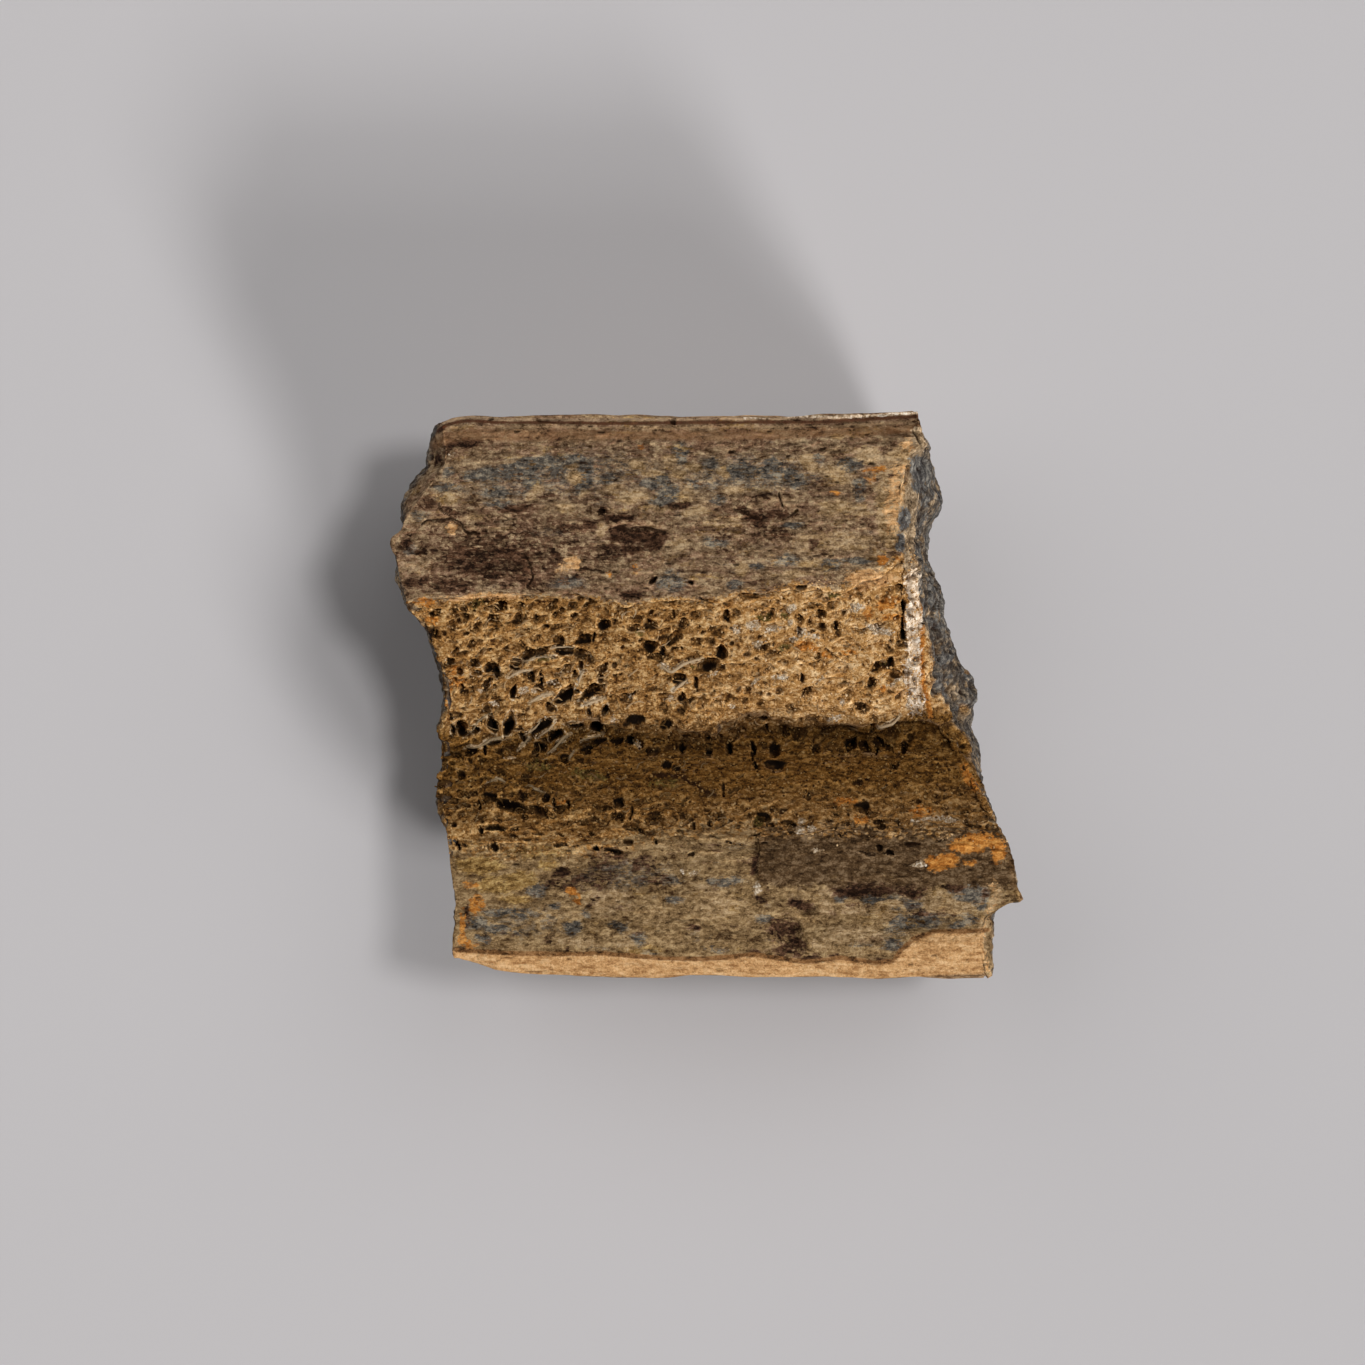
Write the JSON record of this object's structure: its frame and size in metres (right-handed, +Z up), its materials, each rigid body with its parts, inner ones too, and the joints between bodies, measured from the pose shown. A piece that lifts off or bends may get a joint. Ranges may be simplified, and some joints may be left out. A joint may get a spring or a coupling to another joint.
{
  "type": "fossil bone fragment",
  "caption": "Broken length of fossil limb bone, split along its grain: two dense walls, an open marrow trough with spongy bone between them, and a rounded outer side that it lies on.",
  "frame": {"origin": "under the middle of the fragment's box, on the surface it lies on", "axes": "+X along the grain of the bone, +Y across it towards the higher wall, +Z up, out of the marrow side"},
  "size_m": [0.063, 0.0572, 0.0256],
  "materials": {
    "fossil_bone": "matte"
  },
  "bodies": {
    "root": {"fossil_bone_fragment": "fossil_bone"}
  },
  "joints": []
}
